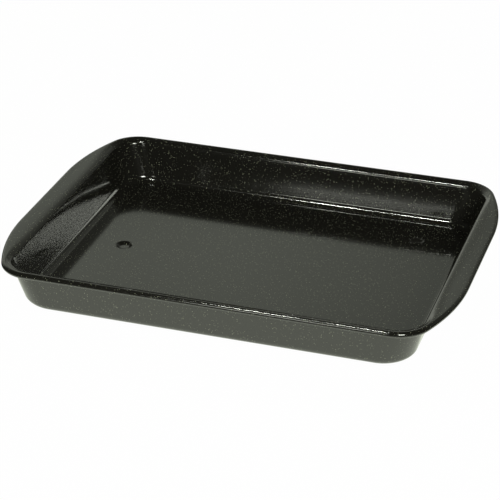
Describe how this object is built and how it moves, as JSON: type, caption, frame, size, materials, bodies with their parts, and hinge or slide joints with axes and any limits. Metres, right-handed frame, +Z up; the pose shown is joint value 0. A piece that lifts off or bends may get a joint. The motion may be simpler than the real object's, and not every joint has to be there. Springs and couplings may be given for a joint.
{
  "type": "roasting pan",
  "caption": "Low rectangular roasting pan pressed from enamelled sheet steel, with a rolled rim that widens into handle wings.",
  "frame": {"origin": "on the resting plane, under the middle of the pan", "axes": "+X along the pan through both handle wings, +Z up"},
  "size_m": [0.4, 0.3, 0.0425],
  "materials": {
    "enamel": "glossy speckled enamel"
  },
  "bodies": {
    "root": {"pan": "enamel"}
  },
  "joints": []
}
